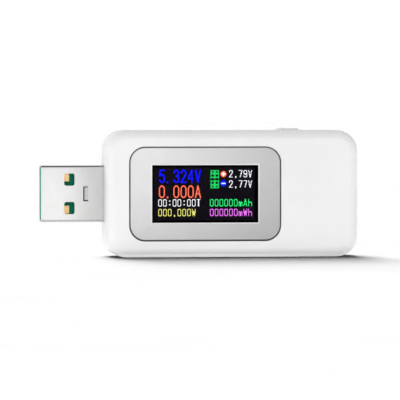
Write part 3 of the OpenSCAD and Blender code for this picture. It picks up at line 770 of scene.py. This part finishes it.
# Each softbox: how far it stands off from the point that it faces, its width and height, all in
# millimetres, and its watts
SOFTBOXES = {
    "table_light": {"offset": (4.5, -20, -132), "size": (160, 80), "watts": 0.18},
    "front_light": {"offset": (-0.5, -210, -212), "size": (200, 200), "watts": 0.165},
    "foot_light": {"offset": (0, -18, -11), "size": (54, 6), "watts": 0.0042},
    "top_light": {"offset": (-0.5, 0, 488), "size": (600, 600), "watts": 0.6},
    "left_light": {"offset": (-450.5, 50, 68), "size": (300, 300), "watts": 0.05},
    "plate_light": {"offset": (-4, -100, 0), "size": (65, 50), "watts": 0.0165},
    "rim_light": {"offset": (120, -67, -52), "size": (100, 100), "watts": 0.1},
    "plug_light": {"offset": (1, -40, -5), "size": (12.5, 26), "watts": 0.00092},
}
# What the foot light and the plug light face: how high on the covers, and how far from the plug's tip
FOOT_HEIGHT = 3 * MM
PLUG_AIM = 4.5 * MM


def add_softbox(name, aim, only, through=None):
    """A rectangular light that stands off from a point and faces it."""
    box = SOFTBOXES[name]
    width, height = box["size"]
    away = Vector(box["offset"]) * MM
    lamp = add_lamp(name, "AREA", box["watts"], only, through,
                    shape="RECTANGLE", size=width * MM, size_y=height * MM)
    lamp.location = aim + away
    lamp.rotation_quaternion = (-away).to_track_quat("-Z", "Y")


FLOOR_TONE = 0.10
FLOOR_REACH = 3.0
# The floor's own light: a row of soft suns from overhead down to the back, a little from the left.
# Each one is given as its angle from overhead and its share of the floor's brightness.
FLOOR_SUNS = [(14, 0.27), (30, 0.22), (47, 0.28), (62, 0.18)]
SUN_WIDTH = math.radians(26)
SUN_AZIMUTH = math.radians(8)


def add_floor():
    """A plain pale sweep that a light of its own keeps white, with soft shadows under the object."""
    s = Surface("floor_paper", specular_ior_level=0.0)
    s.drive("Base Color", s.mix(s.spread(s.noise(40 * MM, 2), 0, 1), grey(FLOOR_TONE * 0.98),
                                grey(FLOOR_TONE * 1.02)))
    s.drive("Roughness", s.spread(s.noise(2 * MM, 3), 0.9, 1.0))
    mesh = bpy.data.meshes.new("floor")
    far = FLOOR_REACH
    corners = [(-far, -far, 0), (far, -far, 0), (far, far, 0), (-far, far, 0)]
    mesh.from_pydata(corners, [], [(0, 1, 2, 3)])
    mesh.materials.append(s.material)
    floor = bpy.data.objects.new("floor", mesh)
    scene.collection.objects.link(floor)
    floor_only = linked("floor_only", [floor])
    covers = part_lights("shadow_casters", "front_cover", "rear_cover", "button_cap")
    for degrees, share in FLOOR_SUNS:
        tilt = math.radians(degrees)
        watts = share * math.pi / (FLOOR_TONE * math.cos(tilt))
        lamp = add_lamp(f"floor_sun_{degrees}", "SUN", watts, floor_only, covers, angle=SUN_WIDTH)
        travel = Vector((
            math.sin(tilt) * math.sin(SUN_AZIMUTH),
            -math.sin(tilt) * math.cos(SUN_AZIMUTH),
            -math.cos(tilt),
        ))
        lamp.rotation_quaternion = travel.to_track_quat("-Z", "Y")


# How bright the surroundings are, from straight down (0) to straight up (1)
LEVELS_UP = [(0.0, 0.9), (0.5, 1.05), (0.74, 1.05), (0.86, 0.6), (0.95, 0.1), (1.0, 0.1)]
# What that is multiplied by, from the plug's side (0) to the socket's side (1)
LEVELS_ACROSS = [(0.0, 1.15), (0.35, 1.0), (0.6, 1.0), (0.8, 0.7), (1.0, 0.55)]
# How bright the background looks to the camera
BACKDROP_LEVEL = 1.05


def add_world():
    """White to the camera. As light: a white surround with a dark ceiling, dimmer at the right."""
    world = bpy.data.worlds.new("studio")
    scene.world = world
    world.use_nodes = True
    tree = world.node_tree
    tree.nodes.clear()

    def node(kind, **values):
        made = tree.nodes.new("ShaderNode" + kind)
        for key, value in values.items():
            made.inputs[key.replace("_", " ")].default_value = value
        return made

    split = node("SeparateXYZ")
    tree.links.new(node("TexCoord").outputs["Generated"], split.inputs[0])

    def levels(axis, stops):
        to_unit = node("MapRange", From_Min=-1)
        tree.links.new(split.outputs[axis], to_unit.inputs["Value"])
        ramp = node("ValToRGB")
        tree.links.new(to_unit.outputs[0], ramp.inputs[0])
        elements = ramp.color_ramp.elements
        while len(elements) < len(stops):
            elements.new(0.5)
        for element, (position, level) in zip(elements, stops):
            element.position = position
            element.color = grey(level)
        return ramp.outputs[0]

    product = node("VectorMath")
    product.operation = "MULTIPLY"
    tree.links.new(levels("Z", LEVELS_UP), product.inputs[0])
    tree.links.new(levels("X", LEVELS_ACROSS), product.inputs[1])
    soft = node("Background")
    tree.links.new(product.outputs[0], soft.inputs["Color"])
    white = node("Background", Color=(1, 1, 1, 1), Strength=BACKDROP_LEVEL)
    choose = node("MixShader")
    tree.links.new(node("LightPath").outputs["Is Camera Ray"], choose.inputs[0])
    tree.links.new(soft.outputs[0], choose.inputs[1])
    tree.links.new(white.outputs[0], choose.inputs[2])
    tree.links.new(choose.outputs[0], node("OutputWorld").inputs[0])


def add_lights():
    """Lights of their own for the white parts and for each metal part, as small cards would give."""
    plastic = part_lights("plastic_only", "front_cover", "rear_cover", "button_cap")
    foot = Vector((centre("front_cover").x, 0, FOOT_HEIGHT))
    add_softbox("table_light", AIM, plastic, plastic)
    add_softbox("front_light", AIM, plastic, plastic)
    add_softbox("foot_light", foot, plastic, plastic)
    add_softbox("top_light", AIM, plastic)
    add_softbox("left_light", AIM, plastic)

    plate_size = size("trim_plate")
    plate_corner = PLATE + Vector((-plate_size.x, 0, plate_size.z)) / 2
    add_softbox("plate_light", plate_corner, part_lights("plate_only", "trim_plate"))
    rim_only = linked("rim_only", [rim])
    add_softbox("rim_light", PLATE, rim_only, rim_only)
    plug_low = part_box("plug_shell")[0]
    plug_face = Vector((plug_low.x + PLUG_AIM, plug_low.y, PLATE.z))
    add_softbox("plug_light", plug_face, part_lights("plug_only", "plug_shell"))


add_camera()
add_floor()
add_world()
add_lights()
scene.view_settings.view_transform = "Standard"
